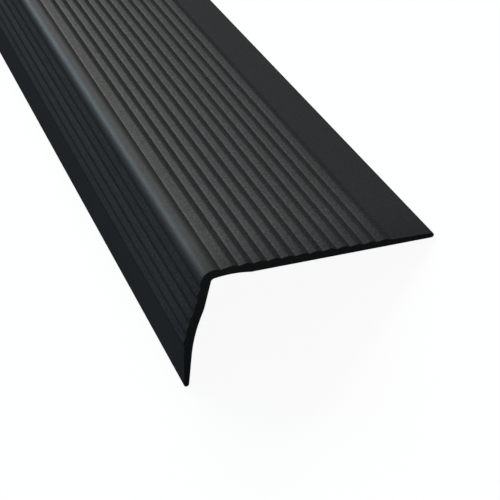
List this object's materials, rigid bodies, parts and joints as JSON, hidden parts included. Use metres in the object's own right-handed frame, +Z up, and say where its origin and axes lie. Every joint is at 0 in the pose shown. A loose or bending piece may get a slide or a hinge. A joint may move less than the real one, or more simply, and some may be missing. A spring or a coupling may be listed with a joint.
{
  "type": "stair nosing",
  "caption": "Flexible L-section stair nosing strip with a ribbed tread leaf, a rounded nose and a ribbed, flared riser leaf, bonded over a stair's edge for grip and wear.",
  "frame": {"origin": "centre of the footprint on the floor, as the strip lies unheld on the free edges of its two leaves", "axes": "+Y along the strip's length, +X from the riser leaf towards the back edge of the tread leaf, +Z up"},
  "size_m": [0.0798, 1, 0.0293],
  "materials": {
    "nosing_rubber": "matt black, fine grain on the ribs, satin nose"
  },
  "bodies": {
    "root": {"nosing_strip": "nosing_rubber"}
  },
  "joints": []
}
